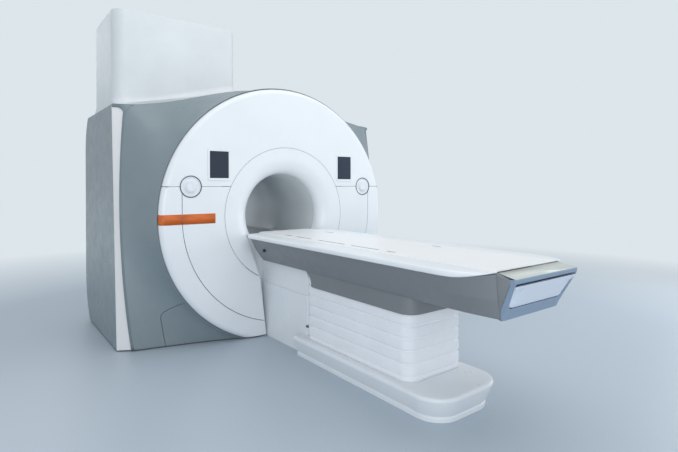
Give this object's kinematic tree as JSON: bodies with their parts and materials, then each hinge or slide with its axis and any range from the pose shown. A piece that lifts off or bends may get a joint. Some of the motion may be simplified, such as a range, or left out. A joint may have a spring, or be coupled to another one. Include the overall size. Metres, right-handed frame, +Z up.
{
  "type": "mri scanner",
  "caption": "Whole-body magnetic resonance scanner: round white front cover, grey body, duct tower and a rising table whose top slides into the bore.",
  "frame": {"origin": "on the floor straight under the centre of the magnet, at the middle of the four anchor holes in its feet", "axes": "+Y along the bore, away from the table; +X to the right seen from the table; +Z up"},
  "size_m": [2.58, 4.119, 2.65],
  "materials": {
    "vessel_steel": "satin",
    "column_steel": "satin",
    "pipe_steel": "satin",
    "shield_aluminium": "satin",
    "machined_aluminium": "machined",
    "column_aluminium": "satin",
    "coil_winding": "satin",
    "rod_fibreglass": "matte",
    "frame_paint": "powder coat",
    "coil_resin": "cast resin",
    "liner_plastic": "satin",
    "cover_white": "satin",
    "tower_white": "satin",
    "body_grey": "satin",
    "stripe_orange": "satin film",
    "screen_glass": "glossy",
    "ring_dark": "matte",
    "dial_white": "satin",
    "bellows_white": "matte",
    "table_grey": "satin",
    "table_white": "satin",
    "cap_blue": "satin",
    "motor_dark": "satin",
    "belt_rubber": "matte",
    "roller_rubber": "matte"
  },
  "bodies": {
    "scanner": {"magnet_vessel": "vessel_steel", "radiation_shield": "shield_aluminium", "helium_vessel": "vessel_steel", "magnet_coils": "coil_winding", "suspension_rods": "rod_fibreglass", "service_turret": "vessel_steel", "cold_head": "machined_aluminium", "quench_pipe": "pipe_steel", "magnet_feet": "vessel_steel", "cover_brackets": "frame_paint", "gradient_coil": "coil_resin", "body_coil": "coil_resin", "bore_liner": "liner_plastic", "bore_rails": "liner_plastic", "front_frame": "frame_paint", "rear_frame": "frame_paint", "front_cover_upper": "cover_white", "front_cover_left": "cover_white", "front_cover_right": "cover_white", "rim_cover_left": "cover_white", "rim_cover_right": "cover_white", "front_funnel": "cover_white", "rear_funnel": "cover_white", "dock_recess": "cover_white", "accent_stripe": "stripe_orange", "surround_left": "body_grey", "surround_right": "body_grey", "service_panels": "body_grey", "trim_strips": "cover_white", "side_panels": "body_grey", "top_cover": "body_grey", "rear_cover": "body_grey", "tower_cover": "tower_white", "display_bezels": "cover_white", "display_screens": "screen_glass", "control_rings": "ring_dark", "dock_pedestal": "cover_white", "plinth_cover": "cover_white", "base_plate": "vessel_steel", "lift_column": "column_steel"},
    "lift": {"dock_slide": "cover_white", "lift_ram": "column_aluminium", "bellows": "bellows_white", "table_frame": "frame_paint", "table_housing": "table_grey", "table_rim": "table_white", "foot_cap": "cap_blue", "travel_motor": "motor_dark", "drive_belt": "belt_rubber"},
    "tabletop": {"tabletop": "table_white", "top_fittings": "ring_dark"},
    "dial_left": {"control_dial_left": "dial_white"},
    "dial_right": {"control_dial_right": "dial_white"},
    "button_left": {"control_button_left": "dial_white"},
    "button_right": {"control_button_right": "dial_white"},
    "release_handle": {"release_handle": "cover_white"},
    "drive_pulley": {"drive_pulley": "machined_aluminium"},
    "idler_pulley": {"idler_pulley": "machined_aluminium"},
    "roller_front": {"roller_front": "roller_rubber"},
    "roller_rear": {"roller_rear": "roller_rubber"}
  },
  "joints": [
    {"name": "table_lift", "type": "slide", "parent": "scanner", "child": "lift", "axis": [0, 0, 1], "range_m": [-0.29, 0], "deforming": ["bellows"]},
    {"name": "tabletop_travel", "type": "slide", "parent": "lift", "child": "tabletop", "axis": [0, 1, 0], "range_m": [0, 1.75]},
    {"name": "dial_left_turn", "type": "hinge", "parent": "scanner", "child": "dial_left", "pos_m": [-0.84, -0.875, 1.245], "axis": [0, 1, 0], "range_deg": [-20, 20], "stiffness_Nm_per_rad": 0.6},
    {"name": "dial_right_turn", "type": "hinge", "parent": "scanner", "child": "dial_right", "pos_m": [0.84, -0.875, 1.245], "axis": [0, 1, 0], "range_deg": [-20, 20], "stiffness_Nm_per_rad": 0.6},
    {"name": "button_left_push", "type": "slide", "parent": "dial_left", "child": "button_left", "axis": [0, 1, 0], "range_m": [0, 0.003], "stiffness_N_per_m": 500},
    {"name": "button_right_push", "type": "slide", "parent": "dial_right", "child": "button_right", "axis": [0, 1, 0], "range_m": [0, 0.003], "stiffness_N_per_m": 500},
    {"name": "handle_pull", "type": "hinge", "parent": "lift", "child": "release_handle", "pos_m": [0, -3.177, 0.705], "axis": [1, 0, 0], "range_deg": [0, 12], "stiffness_Nm_per_rad": 3, "springref_deg": -28.65},
    {"name": "drive_pulley_spin", "type": "hinge", "parent": "lift", "child": "drive_pulley", "pos_m": [0, -2.95, 0.766], "axis": [1, 0, 0], "continuous": true},
    {"name": "idler_pulley_spin", "type": "hinge", "parent": "lift", "child": "idler_pulley", "pos_m": [0, -0.98, 0.789], "axis": [1, 0, 0], "continuous": true},
    {"name": "roller_front_spin", "type": "hinge", "parent": "lift", "child": "roller_front", "pos_m": [0, -1.08, 0.7877], "axis": [1, 0, 0], "continuous": true},
    {"name": "roller_rear_spin", "type": "hinge", "parent": "lift", "child": "roller_rear", "pos_m": [0, -2.6, 0.7877], "axis": [1, 0, 0], "continuous": true}
  ],
  "couplings": [
    {"joint": "drive_pulley_spin", "follows": "tabletop_travel", "rad_per_m": -25.641},
    {"joint": "idler_pulley_spin", "follows": "tabletop_travel", "rad_per_m": -62.5},
    {"joint": "roller_front_spin", "follows": "tabletop_travel", "rad_per_m": -31.25},
    {"joint": "roller_rear_spin", "follows": "tabletop_travel", "rad_per_m": -31.25}
  ]
}
